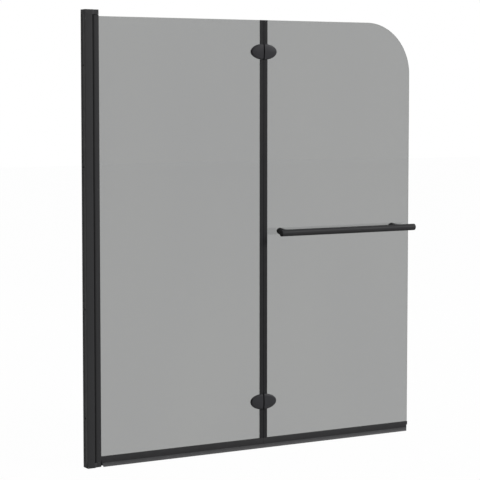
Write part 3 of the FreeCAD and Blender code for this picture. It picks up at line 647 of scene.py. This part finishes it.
glassSize = inMetres({"corner": 1.5, "arris": 0.7, "roundCorner": 170.0, "holeLead": 0.5,
                      "railHole": 6.0})
groundTilt = 0.9  # a face is ground edge where its normal has less than this along Y
hingeSize = inMetres({"front": (47.5, 25.5), "back": (42.5, 23.0), "screwReach": 24.0,
                      "screwSpread": 20.0, "glassHole": 5.0})
foldX = (spanOf("first_drip_seal")[1][0] + spanOf("second_drip_seal")[0][0]) / 2
hingeLevels = {place: middleOf(place + "_hinge_first_shell")[2] for place in ("upper", "lower")}
standPlaces = [middleOf("towel_rail_%s_stand" % end)[0] for end in ("near", "far")]
standLevel = middleOf("towel_rail_front_washers")[2]


# A pane's outline at an inset, carried through its thickness with a ground arris on each side, and
# a hole with a flared mouth for each X, Z and radius
def glassPane(leaf, radii, holes):
    size = glassSize
    low, high = spanOf(leaf + "_glass")
    corners = [(low[0], low[2]), (high[0], low[2]), (high[0], high[2]), (low[0], high[2])]
    arris, lead = size["arris"], size["holeLead"]
    path = [(arris, low[1]), (0, low[1] + arris), (0, high[1] - arris), (arris, high[1])]
    piece = newPiece(leaf + "Glass", insetShell(corners, radii, path, alongY, 40))
    tools = []
    for x, z, radius in holes:
        profile = [(radius + 3 * lead, low[1] - 2 * lead), (radius, low[1] + lead),
                   (radius, high[1] - lead), (radius + 3 * lead, high[1] + 2 * lead)]
        tools.append(lathedShell(profile, (x, 0, z), alongY))
    carve(piece, *tools)
    finishPiece(piece, leaf + "_panel", "tinted_glass", leaf + "_glass")
    dressFaces(piece, groundGlass, "normal", lambda y: abs(y) < groundTilt)


# X and Z of a hinge's two screws on one side of the fold, one above the other
def hingeScrews(side, level):
    x = foldX + side * hingeSize["screwReach"]
    return [(x, level + half * hingeSize["screwSpread"] / 2) for half in (-1, 1)]


corner = glassSize["corner"]
glassCorners = {"first": [corner] * 4, "second": [corner, corner, glassSize["roundCorner"], corner]}
railHoles = {"first": [], "second": [(x, standLevel, glassSize["railHole"]) for x in standPlaces]}
for leaf, side in leaves:
    hingeHoles = [(x, z, hingeSize["glassHole"]) for level in hingeLevels.values()
                  for x, z in hingeScrews(side, level)]
    glassPane(leaf, glassCorners[leaf], hingeHoles + railHoles[leaf])
print("glass made")


# Soft strips on the glass

edgeSealSize = inMetres({"setback": 6.5, "web": 1.5, "halfGlass": 2.5, "half": 4.5, "nose": 1.4,
                         "lip": 0.8, "inner": 0.25, "sharp": 0.05, "notch": 0.15, "seam": 0.35,
                         "seamAt": 5.6, "back": 10.0, "core": 3.2})


# Section of a strip on the fold edge: a clip on the glass, shorter behind it, a fine seam line and
# a hollow soft nose. At each hinge an oval a little larger than the hinge is cut out of it, but
# the core of the nose, between the glass edges, runs on.
def edgeSeal(leaf, side):
    size = edgeSealSize
    low, high = spanOf(leaf + "_edge_seal")
    near, far = (high[0], low[0]) if side < 0 else (low[0], high[0])
    near, far, back = abs(near - foldX), abs(far - foldX), size["back"]
    half, glass, setback, web = size["half"], size["halfGlass"], size["setback"], size["web"]
    seam, cut, sharp = size["seamAt"], size["seam"], size["sharp"]
    corners = [(near, -half), (seam - cut, -half), (seam, -half + cut), (seam + cut, -half),
               (far, -half), (far, -glass), (setback, -glass), (setback, glass), (back, glass),
               (back, half), (seam + cut, half), (seam, half - cut), (seam - cut, half),
               (near, half)]
    radii = [size["nose"], sharp, sharp, sharp, size["lip"], size["inner"], size["inner"]]
    room = bothHalves([(near + web, -half + web), (setback - web, -half + web)])
    loops = [roundedOutline(corners, radii + radii[::-1], steps=8),
             roundedOutline(room, size["inner"])]
    loops = [loop * (side, 1) + (foldX, 0) for loop in loops]
    piece = newPiece(leaf + "EdgeSeal", extrudedShell(loops, low[2], high[2], alongZ))
    wide, tall = hingeSize["front"] + size["notch"]
    meet = math.acos(setback / wide)
    whole = arcPoints((0, 0), 1.0, steps=96) * (wide, tall)
    clip = arcPoints((0, 0), 1.0, -meet, meet, 96, closed=False) * (side * wide, tall)
    for level in hingeLevels.values():
        for plan, start, end in ((whole, -2 * half, -size["core"]), (whole, size["core"], 2 * half),
                                 (clip, -2 * half, 2 * half)):
            carve(piece, extrudedShell([plan + (foldX, level)], start, end, alongY))
    finishPiece(piece, leaf + "_panel", "soft_black_pvc", leaf + "_edge_seal")


dripSize = inMetres({"half": 4.5, "halfGlass": 2.5, "web": 1.5, "glassFoot": 19.0, "base": 2.0,
                     "clipFoot": 10.5, "fin": 1.6, "lip": 1.5, "lipStart": 2.5, "top": 0.7,
                     "inner": 0.25, "sharp": 0.002, "seam": 0.35, "seamAt": 17.5, "start": 52.4,
                     "end": 1197.0, "lipEnd": 1188.0})
lipArch = (0.05, 0.2)  # how far the middle of the lip stands off, in shares of its reach and drop


# Section of the strip under the glass: a clip, a thin arched lip that leans out to the front, and
# a fin that hangs at the back. Both edges of the lip are curves through three points. At the wall
# the legs beside the glass start before the rest, and at the free end the rest stops at a slant.
def dripSeal(leaf, atWall):
    size = dripSize
    low, high = spanOf(leaf + "_drip_seal")
    half, glass, foot, thick = size["half"], size["halfGlass"], size["clipFoot"], size["lip"]
    tip, ground, top, glassFoot = low[1], low[2], high[2], size["glassFoot"]
    root, point = np.array((-half, foot + thick)), np.array((tip, ground + thick / 2))
    rootFoot, pointFoot = np.array((-half, foot)), np.array((tip + thick / 2, ground))
    arch = np.array((tip + half, foot - ground)) * lipArch
    upper = bowed(root, (root + point) / 2 + arch, point)
    lower = bowed(pointFoot, (rootFoot + pointFoot) / 2 + arch, rootFoot)
    cut, seam, fin = size["seam"], size["seamAt"], half - size["fin"]
    corners = [(fin, ground), (half, ground), (half, seam - cut), (half - cut, seam),
               (half, seam + cut), (half, top), (glass, top), (glass, glassFoot),
               (-glass, glassFoot), (-glass, top), (-half, top), (-half, seam + cut),
               (-half + cut, seam), (-half, seam - cut), *upper, *lower, (fin, foot)]
    inner = size["inner"]
    shaped = {0: inner, 1: inner, 5: size["top"], 6: inner, 9: inner, 10: size["top"]}
    radii = [shaped.get(number, size["sharp"]) for number in range(len(corners))]
    across, floor, roof = half - size["web"], foot + size["web"], glassFoot - size["base"]
    room = [(-across, floor), (across, floor), (across, roof), (-across, roof)]
    loops = [roundedOutline(corners, radii, steps=4), roundedOutline(room, inner)]
    piece = newPiece(leaf + "DripSeal", extrudedShell(loops, low[0], high[0], alongX))
    if atWall:
        plan = [(low[0] - past, 2 * tip), (size["start"], 2 * tip), (size["start"], 2 * half),
                (low[0] - past, 2 * half)]
    else:
        plan = [(size["end"], 2 * half), (size["end"], -half), (size["lipEnd"], tip),
                (size["lipEnd"], 2 * tip), (high[0] + past, 2 * tip), (high[0] + past, 2 * half)]
    carve(piece, extrudedShell([np.array(plan)], -past, glassFoot, alongZ))
    finishPiece(piece, leaf + "_panel", "soft_black_pvc", leaf + "_drip_seal", levelPvc)
    # the lip's faces get the lighter grey, painted light for its upward slant
    dressFaces(piece, paintedLightLipPvc, "center", lambda y: y < -half - size["lipStart"])


for leaf, side in leaves:
    edgeSeal(leaf, side)
for leaf, side in leaves:
    dripSeal(leaf, side < 0)
print("seals made")


# Hinges

shellSize = inMetres({"firstGap": 3.5, "gap": 0.5, "crown": 1.2, "round": 8.0, "roundDeep": 4.6,
                      "split": 0.8, "corner": 1.6, "lip": 0.3, "wall": 2.5, "roomInset": 5.5,
                      "last": 0.5})
coverSize = inMetres({"start": 6.5, "crown": 0.2, "round": 2.4, "roundDeep": 2.4, "split": 0.5,
                      "corner": 1.2, "lip": 0.2, "wall": 1.5, "roomInset": 1.75, "last": 0.5})
leafSize = inMetres({"inset": 1.7, "gap": 0.5, "edge": 0.25, "corner": 0.6, "plate": 3.0,
                     "knuckle": 4.5, "bore": 2.05, "screwHole": 2.7, "stackInset": 3.0,
                     "runningGap": 0.15})
ovalSteps = {"arc": 56, "corner": 5, "chord": 6}
cornerShare = 0.4  # the most that a corner's round takes of half the chord


# Closed loops round one half of an oval, one for each inset, chord and height. A loop is an arc of
# the ellipse whose half axes are smaller by the inset, as far as an upright chord, and that chord.
# Quadratic curves round its two corners. The arc's points come first.
def halfOvals(oval, side, level, insets, chords, heights, rounding):
    wide = oval[0] - np.array(insets)[:, None]
    tall = oval[1] - np.array(insets)[:, None]
    chord = np.array(chords)[:, None]
    meet = np.arccos(np.clip(chord / wide, -1, 1))
    top = tall * np.sin(meet)
    cut = np.minimum(rounding, top * cornerShare)
    stop = meet - cut / np.hypot(wide * np.sin(meet), tall * np.cos(meet))
    angle = stop * np.linspace(-1, 1, ovalSteps["arc"] + 1)
    arc = np.stack([wide * np.cos(angle), tall * np.sin(angle)], axis=-1)
    share = np.linspace(0, 1, ovalSteps["corner"] + 1)[1:-1]
    weights = np.stack([(1 - share) ** 2, 2 * share * (1 - share), share ** 2])
    knots = np.stack([arc[:, -1], np.hstack([chord, top]), np.hstack([chord, top - cut])], axis=1)
    bend = np.einsum("ks,rkc->rsc", weights, knots)
    rise = (top - cut) * np.linspace(1, -1, ovalSteps["chord"] + 1)
    straight = np.stack([np.broadcast_to(chord, rise.shape), rise], axis=-1)
    loops = np.concatenate([arc, bend, straight, bend[:, ::-1] * (1, -1)], axis=1)
    y = np.broadcast_to(np.array(heights)[:, None], loops.shape[:2])
    return np.stack([loops[..., 0] * side + foldX, y, loops[..., 1] + level], axis=-1)


# A hollow half shell of the oval as rows of loops: inner ceiling, rim, outer wall, a quarter of an
# ellipse and a crowned face. The crown falls with the square of the share of the way to the
# middle, and the chord's edge is eased by a small round at the top. The rim may stand at another
# height beside the chord.
def ovalHalf(name, oval, size, side, level, seat, face, chord, seatAtChord=None):
    out = 1 if face > seat else -1
    rounding, last = size["round"], oval[1] - size["last"]
    angle = np.linspace(0, math.pi / 2, 9)
    share = np.linspace(0, 1, 11)[1:]
    crown, split, lip, deep = size["crown"], size["split"], size["lip"], size["roundDeep"]
    insets = np.concatenate([rounding * (1 - np.cos(angle)), rounding + (last - rounding) * share])
    sunk = np.concatenate([crown + deep * (1 - np.sin(angle)), crown * (1 - share) ** 2])
    ease = split - np.sqrt(np.maximum(split ** 2 - np.maximum(split - sunk, 0) ** 2, 0))
    insets = np.concatenate([[size["roomInset"] + lip, size["roomInset"], lip, 0], insets])
    heights = np.concatenate([[face - out * size["wall"], seat, seat, seat + out * lip],
                              face - out * sunk])
    chords = np.concatenate([[chord + size["wall"]] * 2, [chord + lip, chord], chord + ease])
    grid = halfOvals(oval, side, level, insets, chords, heights, size["corner"])
    if seatAtChord is not None:
        grid[1:4, ovalSteps["arc"] + 1:, 1] += seatAtChord - seat
    return newPiece(name, gridShell(grid))


# The steel leaf: half an oval plate with softened edges, and knuckles whose section is a ring on
# the fold axis with a straight stem down to the plate
def hingeLeaf(name, node, side, level, body):
    size = leafSize
    low, high = spanOf(node)
    axisY, face, back = high[1] - size["knuckle"], low[1], low[1] + size["plate"]
    edge, inset, gap, radius = size["edge"], size["inset"], size["gap"], size["knuckle"]
    insets = [inset + edge, inset, inset, inset + edge]
    heights = [face, face + edge, back - edge, back]
    plate = halfOvals(hingeSize["back"], side, level, insets, [gap] * 4, heights, size["corner"])
    piece = newPiece(name, gridShell(plate))
    turn = 2 * math.pi - math.acos(gap / radius)
    ring = arcPoints((0, axisY), radius, 0, turn, 36, closed=False)
    stem = [(gap, face + edge), (radius, face + edge)]
    outline = np.concatenate([stem, ring]) * (side, 1) + (foldX, 0)
    bore = arcPoints((foldX, axisY), size["bore"], steps=24)
    stack, slack = 2 * (hingeSize["back"][1] - size["stackInset"]), size["runningGap"]
    foot = level - stack / 2
    numbers = (0, 2) if side < 0 else (1,)
    shells = [extrudedShell([outline, bore], foot + number * stack / 3 + slack,
                            foot + (number + 1) * stack / 3 - slack, alongZ) for number in numbers]
    carve(piece, *shells, operation="UNION")
    carve(piece, *[cylinder(size["screwHole"], face - past, back + past, (x, 0, z), alongY)
                   for x, z in hingeScrews(side, level)])
    finishPiece(piece, body, "black_coated_steel", node)


pinSize = inMetres({"radius": 2.0, "head": 3.4, "headHeight": 1.2, "headRound": 1.08})


# A pin with a rounded head at each end: the upper half of its profile and that half upside down
def hingePin(place):
    size = pinSize
    low, high = spanOf(place + "_hinge_pin")
    centre = (low + high) / 2
    neck = high[2] - size["headHeight"]
    rim = roundedRim(size["head"], high[2], size["headRound"], 1)
    upper = np.array([(size["radius"], neck), (size["head"], neck), *rim])
    lower = upper[::-1] * (1, -1) + (0, low[2] + high[2])
    piece = newPiece(place + "HingePin",
                     lathedShell(np.concatenate([lower, upper]), (centre[0], centre[1], 0), alongZ))
    finishPiece(piece, "first_panel", "stainless_steel", place + "_hinge_pin")


for place, level in hingeLevels.items():
    hingePin(place)
    for leaf, side in leaves:
        node = "%s_hinge_%s_" % (place, leaf)
        name = "%sHinge%s" % (place, leaf.capitalize())
        body = leaf + "_panel"
        low, high = spanOf(node + "shell")
        shell = ovalHalf(name + "Shell", hingeSize["front"], shellSize, side, level, high[1], low[1],
                         shellSize["firstGap"] if side < 0 else shellSize["gap"])
        finishPiece(shell, body, "black_coated_zinc", node + "shell")
        low, high = spanOf(node + "cover")
        cover = ovalHalf(name + "Cover", hingeSize["back"], coverSize, side, level, low[1], high[1],
                         coverSize["start"], low[1] + leafSize["plate"])
        finishPiece(cover, body, "black_coated_zinc", node + "cover")
        hingeLeaf(name + "Leaf", node + "leaf", side, level, body)
print("hinges made")


# Towel rail

railSize = inMetres({"wall": 1.5, "seam": 0.3, "capThickness": 3.0, "capRound": 2.0, "spigot": 7.0,
                     "slack": 0.1, "standRadius": 10.6, "standFoot": 0.5, "spigotHole": 5.0,
                     "washerRadius": 11.0, "backRadius": 8.5, "backWasher": 8.2, "washer": 1.0,
                     "washerEdge": 0.3, "hole": 3.2, "collar": 5.9, "disc": 5.0,
                     "discRound": 1.2, "sink": 5.2, "headHeight": 3.2, "boltHead": 4.95,
                     "bolt": 3.0, "boltEdge": 0.5, "socketMouth": 2.53, "socket": 2.3,
                     "socketDepth": 2.2})
railLow, railHigh = spanOf("towel_rail_tube")
railRadius = (railHigh[2] - railLow[2]) / 2
railY, railLevel = middleOf("towel_rail_tube")[1:]
glassFront, glassBack = [end[1] for end in spanOf("second_glass")]
saddleRounds = 8


# A tube's wall as a ring turned round the rail's axis, with two holes in its back for the stands
def railTube():
    size = railSize
    inner, start, end = railRadius - size["wall"], railLow[0], railHigh[0]
    profile = [*easedSide(railRadius, start, end, size["seam"]), (inner, end), (inner, start)]
    piece = newPiece("towelRailTube", lathedShell(profile, (0, railY, railLevel), alongX,
                                                  ring=True, steps=64))
    hole, behind = size["spigotHole"], railY + 2 * railRadius
    carve(piece, *[cylinder(hole, railY, behind, (x, 0, railLevel), alongY) for x in standPlaces])
    finishPiece(piece, "second_panel", "black_coated_aluminium", "towel_rail_tube", coatedRail)


# An end cap: a spigot in the tube, a seam beside its seat and a face with a rounded edge
def railCap(end, outwards):
    size = railSize
    node = "towel_rail_%s_cap" % end
    face = spanOf(node)[1 if outwards > 0 else 0][0]
    seat, seam = face - outwards * size["capThickness"], size["seam"]
    spigot = railRadius - size["wall"] - size["slack"]
    rim = roundedRim(railRadius, face, size["capRound"], outwards, steps=8)
    profile = [(spigot - seam, seat - outwards * size["spigot"]),
               (spigot, seat - outwards * (size["spigot"] - seam)), (spigot, seat),
               (railRadius - seam, seat), (railRadius, seat + outwards * seam), *rim]
    piece = newPiece("towelRail%sCap" % end.capitalize(),
                     lathedShell(profile, (0, railY, railLevel), alongX, steps=64))
    finishPiece(piece, "second_panel", "black_coated_aluminium", node, coatedRail)


# A stand between glass and rail: rings whose middle sinks evenly to the rail's level, and a saddle
# end that lies on the tube. Its depth there is the tube's axis plus the root of the tube's radius
# squared less height squared, worked out in rounds because the height follows the depth.
def railStand(end, x):
    size = railSize
    node = "towel_rail_%s_stand" % end
    foot = glassFront - size["washer"]
    radius, ease = size["standRadius"], size["standFoot"]
    angle = np.linspace(0, 2 * math.pi, 64, endpoint=False)

    def middle(y):
        return railLevel + (standLevel - railLevel) * (y - railY) / (foot - railY)

    def ring(r, y):
        return np.stack([x + r * np.cos(angle), y + 0 * angle, middle(y) + r * np.sin(angle)], axis=1)

    def saddle(r):
        y = np.full(len(angle), railY + railRadius / 2)
        for _ in range(saddleRounds):
            height = middle(y) + r * np.sin(angle) - railLevel
            y = railY + np.sqrt(np.maximum(railRadius ** 2 - height ** 2, 0))
        return y

    rows = [ring(radius - ease, foot), ring(radius, foot - ease)]
    rows += [ring(radius, foot - ease + share * (saddle(radius) - foot + ease))
             for share in np.linspace(0.25, 1, 4)]
    rows += [ring(r, saddle(r)) for r in radius * np.linspace(0.85, 0.1, 6)]
    piece = newPiece("towelRail%sStand" % end.capitalize(), gridShell(np.array(rows)))
    finishPiece(piece, "second_panel", "black_coated_aluminium", node, coatedRail)


# What holds a stand to the glass, each a turned profile at both stands: the front washer, the back
# washer with its collar in the glass, the back disc, and the bolt whose head lies in the disc
def railFixings():
    size = railSize
    washer, edge, hole = size["washer"], size["washerEdge"], size["hole"]
    radius, backRadius, backWasher = size["washerRadius"], size["backRadius"], size["backWasher"]

    def places(profile, ring=True):
        return [lathedShell(profile, (x, 0, standLevel), alongY, ring, steps=48) for x in standPlaces]

    front, seat = glassFront - washer, glassBack + washer
    finishPiece(newPiece("towelRailFrontWashers", *places([
        (hole, front), *easedSide(radius, front, glassFront, edge), (hole, glassFront)])),
        "second_panel", "black_rubber", "towel_rail_front_washers")
    finishPiece(newPiece("towelRailBackWashers", *places([
        (hole, glassFront), (size["collar"], glassFront), (size["collar"], glassBack),
        *easedSide(backWasher, glassBack, seat, edge), (hole, seat)])),
        "second_panel", "black_rubber", "towel_rail_back_washers")
    face = seat + size["disc"]
    sinkFoot = face - size["headHeight"]
    rim = roundedRim(backRadius, face, size["discRound"], 1)
    finishPiece(newPiece("towelRailBackDiscs", *places([
        (hole, seat), (backRadius - edge, seat), (backRadius, seat + edge), *rim,
        (size["sink"] + edge, face), (size["sink"], face - edge), (size["sink"], sinkFoot),
        (hole, sinkFoot)])),
        "second_panel", "black_coated_aluminium", "towel_rail_back_discs")
    tip = spanOf("towel_rail_bolts")[0][1]
    bolt, head, ease = size["bolt"], size["boltHead"], size["boltEdge"]
    piece = newPiece("towelRailBolts", *places([
        (bolt - ease, tip), (bolt, tip + ease), (bolt, sinkFoot), (head, sinkFoot),
        (head, face - ease), (head - ease, face)], ring=False))
    hexagon = [(size["socketMouth"], face + ease), (size["socket"], face - size["socketDepth"])]
    carve(piece, *[lathedShell(hexagon, (x, 0, standLevel), alongY, steps=6) for x in standPlaces])
    finishPiece(piece, "second_panel", "black_coated_steel", "towel_rail_bolts")


railTube()
railCap("near", -1)
railCap("far", 1)
railStand("near", standPlaces[0])
railStand("far", standPlaces[1])
railFixings()
print("towel rail made")


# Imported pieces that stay: each gets the material of its slot
for part in frame["record"]["subparts"]:
    node = frame["nodes"][part["node"]]
    node.data.materials.clear()
    node.data.materials.append(slotMaterials[part["material_slot"]])
print("packed pieces finished:", len(frame["nodes"]))


# Studio: a pale floor, a white room, one large soft lamp in front and a weaker one behind

studio = {"floorSize": 40.0, "floorColour": "#B8B8B8", "floorWhite": 0.985, "roomFill": 0.32}
lamps = {
    "keyLamp": {"place": (10.0, -9.0, 7.2), "aim": (0.6, 0.0, 0.75), "size": 5.0, "power": 2150.0},
    "backLamp": {"place": (2.6, 3.4, 2.9), "aim": (0.6, 0.0, 0.75), "size": 2.2, "power": 60.0},
}


# A value of one for what the camera, a mirror or the glass looks at, and nought for the rest
def seenDirectly(tree):
    path = addNode(tree, "ShaderNodeLightPath")
    seen = (path, "Is Camera Ray")
    for ray in ("Is Glossy Ray", "Is Transmission Ray"):
        links = {0: seen, 1: (path, ray)}
        seen = (addNode(tree, "ShaderNodeMath", {"operation": "MAXIMUM"}, links), 0)
    return seen


# A world that is white where it is seen, and as bright as the fill where it lights
def whiteRoom():
    world = bpy.data.worlds.new("whiteRoom")
    bpy.context.scene.world = world
    world.use_nodes = True
    tree = world.node_tree
    tree.nodes.clear()
    strength = addNode(tree, "ShaderNodeMapRange", {"To Min": studio["roomFill"], "To Max": 1.0},
                       {"Value": seenDirectly(tree)})
    light = addNode(tree, "ShaderNodeBackground", {"Color": (1, 1, 1, 1)},
                    {"Strength": (strength, 0)})
    addNode(tree, "ShaderNodeOutputWorld", {}, {"Surface": (light, 0)})


# A square at the screen's foot that is nearly white where it is seen and matt grey to the light
def paleFloor():
    half = studio["floorSize"] / 2
    mesh = bpy.data.meshes.new("floor")
    mesh.from_pydata([(-half, -half, 0), (half, -half, 0), (half, half, 0), (-half, half, 0)], [],
                     [(0, 1, 2, 3)])
    floor = bpy.data.objects.new("floor", mesh)
    bpy.context.scene.collection.objects.link(floor)
    material, tree, _ = startMaterial("paleFloor", {})
    matt = addNode(tree, "ShaderNodeBsdfDiffuse", {"Color": linear(studio["floorColour"])})
    white = addNode(tree, "ShaderNodeEmission", {"Color": (1, 1, 1, 1), "Strength": 1.0})
    share = addNode(tree, "ShaderNodeMath", {"operation": "MULTIPLY", 1: studio["floorWhite"]},
                    {0: seenDirectly(tree)})
    blend = addNode(tree, "ShaderNodeMixShader", {}, {0: (share, 0), 1: (matt, 0), 2: (white, 0)})
    addNode(tree, "ShaderNodeOutputMaterial", {}, {"Surface": (blend, 0)})
    mesh.materials.append(material)


# A square lamp at its place, turned to its aim, that neither the camera nor the glass sees
def softLamp(name, settings):
    data = bpy.data.lights.new(name, "AREA")
    data.shape = "SQUARE"
    data.size = settings["size"]
    data.energy = settings["power"]
    lamp = bpy.data.objects.new(name, data)
    lamp.location = settings["place"]
    aim = Vector(settings["aim"]) - lamp.location
    lamp.rotation_euler = aim.to_track_quat("-Z", "Y").to_euler()
    lamp.visible_camera = False
    lamp.visible_transmission = False
    bpy.context.scene.collection.objects.link(lamp)


whiteRoom()
paleFloor()
for name, settings in lamps.items():
    softLamp(name, settings)
print("studio lit")


# Camera: the photograph's own viewing angle, nearly level with the top hinge
cameraView = {"place": (-2.1267, -4.6914, 1.1467), "yaw": 29.664, "pitch": 4.136, "lens": 126.98,
              "shiftY": -0.050}
cameraData = bpy.data.cameras.new("camera")
cameraData.lens = cameraView["lens"]
cameraData.shift_y = cameraView["shiftY"]
camera = bpy.data.objects.new("camera", cameraData)
camera.location = cameraView["place"]
camera.rotation_euler = (math.radians(90 - cameraView["pitch"]), 0, math.radians(-cameraView["yaw"]))
bpy.context.scene.collection.objects.link(camera)
bpy.context.scene.camera = camera
bpy.context.scene.view_settings.view_transform = "Standard"
